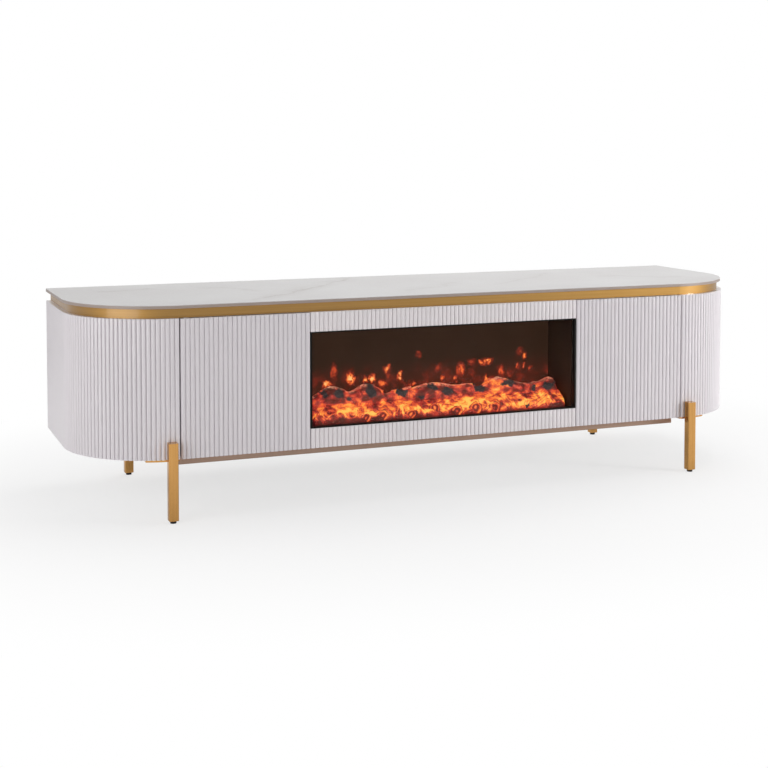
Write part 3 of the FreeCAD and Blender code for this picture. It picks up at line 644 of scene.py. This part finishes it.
def keep_largest_shell(mesh):
    """Drops the specks that an even mesh can leave inside a form."""
    form = bmesh.new()
    form.from_mesh(mesh)
    unseen = set(form.verts)
    shells = []
    while unseen:
        shell = [unseen.pop()]
        for vertex in shell:
            for edge in vertex.link_edges:
                neighbour = edge.other_vert(vertex)
                if neighbour in unseen:
                    unseen.remove(neighbour)
                    shell.append(neighbour)
        shells.append(shell)
    shells.sort(key=len)
    for speck in shells[:-1]:
        bmesh.ops.delete(form, geom=speck, context="VERTS")
    form.to_mesh(mesh)
    form.free()


def with_branches(name, node):
    """A new object with the node's form and its branches as one even mesh."""
    form = bmesh.new()
    form.from_mesh(nodes[node].data)
    for start, end, start_radius, end_radius in branches[node]:
        root, tip = bed_point(start), bed_point(end)
        facing = (tip - root).to_track_quat("Z", "Y").to_matrix().to_4x4()
        middle = Matrix.Translation((root + tip) / 2)
        bmesh.ops.create_cone(form, cap_ends=True, segments=branch_sides, radius1=start_radius,
                              radius2=end_radius, depth=(tip - root).length, matrix=middle @ facing)
    mesh = bpy.data.meshes.new(name + "_form")
    form.to_mesh(mesh)
    form.free()
    source = bpy.data.objects.new(name + "_form", mesh)
    bpy.context.scene.collection.objects.link(source)
    remesh = source.modifiers.new("Even mesh", "REMESH")
    remesh.mode = "VOXEL"
    remesh.voxel_size = ember_voxel
    evaluated = source.evaluated_get(bpy.context.evaluated_depsgraph_get())
    piece = bpy.data.objects.new(name, bpy.data.meshes.new_from_object(evaluated))
    piece.data.name = name
    keep_largest_shell(piece.data)
    bpy.data.objects.remove(source)
    bpy.context.scene.collection.objects.link(piece)
    return piece


def bark(point):
    """Long ridges along the log, with knots: 0 in a crack, 1 on a ridge."""
    along_metre = 20.0
    across_metre = 85.0
    stretched = Vector((point.x * along_metre, point.y * across_metre, point.z * across_metre))
    bends = drifting(point, per_metre=30.0, reach=0.8)
    ridge = 1.0 - abs(noise.noise(stretched + bends)) * 2.2
    knot = patchy(point, per_metre=38.0)
    return held(0.62 * ridge + 0.45 * knot + 0.15)


def coals(point):
    """Lumps of coal with cracks between them: 0 in a crack, 1 on a lump."""
    lumps_per_metre = 52.0
    distances, _ = noise.voronoi(point * lumps_per_metre)
    lump = min(1.0, (distances[1] - distances[0]) * 1.6)
    return held(0.8 * lump + 0.3 * patchy(point, per_metre=90.0))


def charred(point):
    """How far a point lies inside a charred knob, seen from the front; its edge is ragged."""
    drift = drifting(point, per_metre=45.0, reach=0.008) + drifting(point, per_metre=150.0, reach=0.004)
    inside = 0.0
    for along, up, half_width, half_height in knobs:
        across = (point.x + drift.x - along * bed_half) / half_width
        above = (point.z + drift.z - glow_bottom - up * log_rise) / half_height
        inside = max(inside, smooth(math.hypot(across, above), 1.15, 0.55))
    return inside


def end_rings(point, node):
    """Growth rings on the sawn end of a branch that faces the front: None away from it."""
    cut_depth = 0.004
    ring_waver = 0.005
    ring_turn = 9.0
    for start, end, _, end_radius in branches[node]:
        tip = bed_point(end)
        axis = (tip - bed_point(start)).normalized()
        offset = point - tip
        height = offset.dot(axis)
        reach = (offset - axis * height).length + ring_waver * patchy(point, per_metre=60.0)
        faces_front = axis.y < -0.5
        if faces_front and abs(height) < cut_depth and reach < end_radius:
            ring = math.cos(reach / end_radius * ring_turn)
            return 0.38 + 0.30 * ring + 0.30 * patchy(point, per_metre=70.0)
    return None


def ember_heat(point, relief, node):
    """Glow, about 0 to 1: hottest in the cracks of the middle band, maroon at the foot."""
    rings = end_rings(point, node)
    if rings is not None:
        return rings
    up = (point.z - glow_bottom) / log_rise
    band = smooth(up, 0.08, 0.24) * smooth(up, 0.58, 0.32)
    sides = smooth(abs(point.x / bed_half - 0.2), 0.4, 0.9)
    warped = point + drifting(point, per_metre=24.0, reach=0.012)
    crack = smooth(abs(patchy(warped, per_metre=34.0)), 0.16, 0.0)
    grain_line = smooth(abs(math.sin(patchy(warped, per_metre=15.0) * 24.0)), 0.5, 0.0)
    patches_per_metre = 21.0
    patches = noise.noise(point * patches_per_metre + Vector((3.0, 0.0, 0.0)))
    spots = patchy(point, per_metre=62.0)
    heat = base_heat + patch_heat * patches + spot_heat * spots
    heat += band_heat * band + crack_heat * crack * band - side_chill * sides + hollow_heat * (0.6 - relief)
    heat -= grain_chill * grain_line * (0.35 + 0.65 * smooth(up, 0.6, 0.2))
    return max(0.0, heat) * smooth(up, -0.06, 0.16)


def painted_crest_highlight(point, normal):
    """Painted highlight: 1 on the upward faces near the top of the logs."""
    return smooth(normal.z, 0.80, 0.97) * smooth(point.z, glow_bottom + log_rise * 0.5, log_top)


def paint(mesh, name, values):
    """Keeps one value for each vertex, for the material to read by its name."""
    attribute = mesh.attributes.new(name, "FLOAT", "POINT")
    attribute.data.foreach_set("value", np.array(values, np.float32))


def moulding(name, node, depth, relief):
    """Replaces a fire node with its form, its surface sunk by up to depth where the relief is low."""
    piece = with_branches(name, node)
    mesh = piece.data
    places = [vertex.co.copy() for vertex in mesh.vertices]
    normals = [vertex.normal.copy() for vertex in mesh.vertices]
    reliefs = [relief(place) for place in places]
    paint(mesh, "glow", [ember_heat(place, high, node) for place, high in zip(places, reliefs)])
    paint(mesh, "char", [charred(place) for place in places])
    # The ridge attribute carries the painted highlight on the upward faces
    paint(mesh, "ridge", [painted_crest_highlight(place, normal) for place, normal in zip(places, normals)])
    for vertex, normal, high in zip(mesh.vertices, normals, reliefs):
        vertex.co += normal * (high - 1.0) * depth
    mesh.shade_smooth()
    mesh.materials.clear()
    mesh.materials.append(finish_of_slot["ember_resin"])
    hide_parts(node)
    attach(piece, "cabinet")


for side in log_sides:
    moulding(side + "_ember_log", side + "_log", bark_depth, bark)
moulding("coal_bed", "ember_bed", coal_depth, coals)


# Floor, light and camera

plain_white = (1.0, 1.0, 1.0, 1.0)
# How bright the room in front of the part looks in metal and glass, where the white backdrop is 1
room_level = 0.6
# Share of plain white in the floor by the part, to the camera and in metal and glass
floor_white_to_camera = 0.65
floor_white_in_metal = 0.10
# How far out the floor starts to turn white, is all white, and is as bright as the room in metal and glass
floor_near = 0.4
floor_white = 1.4
floor_room = 3.2
floor_half = 30.0
floor_deep = (0.915, 0.915, 0.915, 1.0)
floor_pale = (0.93, 0.93, 0.93, 1.0)
# Distances count less along the part than across it, so its shade on the floor reaches farther that way
floor_spread = (0.7, 1.0, 1.0)
ambient_level = 0.25


def pale_floor(material, tree, shader):
    """Pale paint that turns to plain white away from the part."""
    effect = use_group(tree, mottle, {"Broad scale": 0.6, "Fine scale": 60.0})
    finish_shader(tree, shader, {
        "Base Color": mix_colour(tree, effect["Broad"], floor_deep, floor_pale),
        "Roughness": remap(tree, effect["Fine"], 0.0, 1.0, 0.8, 0.9),
        "Specular IOR Level": 0.1})
    away = vector_node(tree, "LENGTH", object_place(tree, floor_spread))["Value"]
    camera_ray = add(tree, "ShaderNodeLightPath").outputs["Is Camera Ray"]
    least_white = multiply_add(tree, camera_ray, floor_white_to_camera - floor_white_in_metal,
                               floor_white_in_metal)
    whiteness = remap(tree, away, floor_near, floor_white, least_white, 1.0)
    sweep = remap(tree, away, floor_white, floor_room, 1.0, room_level)
    white = add(tree, "ShaderNodeEmission", inputs={"Strength": largest(tree, [sweep, camera_ray])})
    mixed = mix_shaders(tree, multiply(tree, whiteness, seen_directly(tree)),
                        shader.outputs[0], white.outputs[0])
    put(tree, mixed, tree.nodes["Material Output"].inputs["Surface"])
    return material


def floor():
    """Wide floor that keeps the shadow near the part."""
    mesh = bpy.data.meshes.new("studio_floor")
    corners = [(-floor_half, -floor_half, 0.0), (floor_half, -floor_half, 0.0),
               (floor_half, floor_half, 0.0), (-floor_half, floor_half, 0.0)]
    mesh.from_pydata(corners, [], [(0, 1, 2, 3)])
    plane = bpy.data.objects.new("studio_floor", mesh)
    bpy.context.scene.collection.objects.link(plane)
    mesh.materials.append(pale_floor(*new_material("Pale floor")))


def studio_world():
    """Even grey light, plain white to the camera, and greyer in metal and glass towards the room in front."""
    world = bpy.data.worlds.new("Studio")
    world.use_nodes = True
    tree = world.node_tree
    tree.nodes.clear()
    ambient = add(tree, "ShaderNodeBackground", inputs={"Color": plain_white, "Strength": ambient_level})
    heading = axes(tree, add(tree, "ShaderNodeTexCoord").outputs["Generated"])
    backdrop = remap(tree, heading["Y"], 0.2, 0.9, room_level, 1.0)
    camera_ray = add(tree, "ShaderNodeLightPath").outputs["Is Camera Ray"]
    white = add(tree, "ShaderNodeBackground", inputs={
        "Color": plain_white, "Strength": largest(tree, [backdrop, camera_ray])})
    mixed = mix_shaders(tree, seen_directly(tree), ambient.outputs[0], white.outputs[0])
    out = add(tree, "ShaderNodeOutputWorld")
    put(tree, mixed, out.inputs["Surface"])
    bpy.context.scene.world = world


def softbox(name, place, target, width, depth, power):
    """A lit rectangle that faces its target; sizes in metres, power in watts."""
    light = bpy.data.lights.new(name, "AREA")
    light.shape = "RECTANGLE"
    light.size = width
    light.size_y = depth
    light.energy = power
    lamp = bpy.data.objects.new(name, light)
    lamp.location = place
    lamp.rotation_euler = (Vector(target) - Vector(place)).to_track_quat("-Z", "Y").to_euler()
    bpy.context.scene.collection.objects.link(lamp)


def camera():
    """Stands where the photograph was taken: left of the front, level enough to keep uprights parallel."""
    # Width of the picture, focal length and row of the horizon, in pixels of the photograph
    picture = 768.0
    focal = 1417.3
    horizon_row = 210.0
    # Place in metres, turn to the right and dip in radians
    stand = (-1.574, -3.7768, 0.9676)
    turn = 0.376
    dip = 0.049
    data = bpy.data.cameras.new("Photo camera")
    data.sensor_width = 36.0
    data.lens = focal / picture * data.sensor_width
    data.shift_y = horizon_row / picture - 0.5
    rig = bpy.data.objects.new("Photo camera", data)
    rig.location = stand
    facing = Vector((math.sin(turn) * math.cos(dip), math.cos(turn) * math.cos(dip), -math.sin(dip)))
    rig.rotation_euler = facing.to_track_quat("-Z", "Y").to_euler()
    bpy.context.scene.collection.objects.link(rig)
    bpy.context.scene.camera = rig


floor()
studio_world()
softbox("Overhead softbox", place=(0.9, 0.5, 3.2), target=(0.3, 0.2, 0.5), width=3.0, depth=2.4, power=54.0)
softbox("Left softbox", place=(-3.0, -1.6, 1.0), target=(-0.9, -0.15, 0.35), width=2.2, depth=2.0, power=34.0)
softbox("Right key light", place=(2.6, -1.75, 0.8), target=(0.4, -0.3, 0.3), width=0.4, depth=0.4, power=32.0)
camera()
bpy.context.scene.view_settings.view_transform = "Standard"
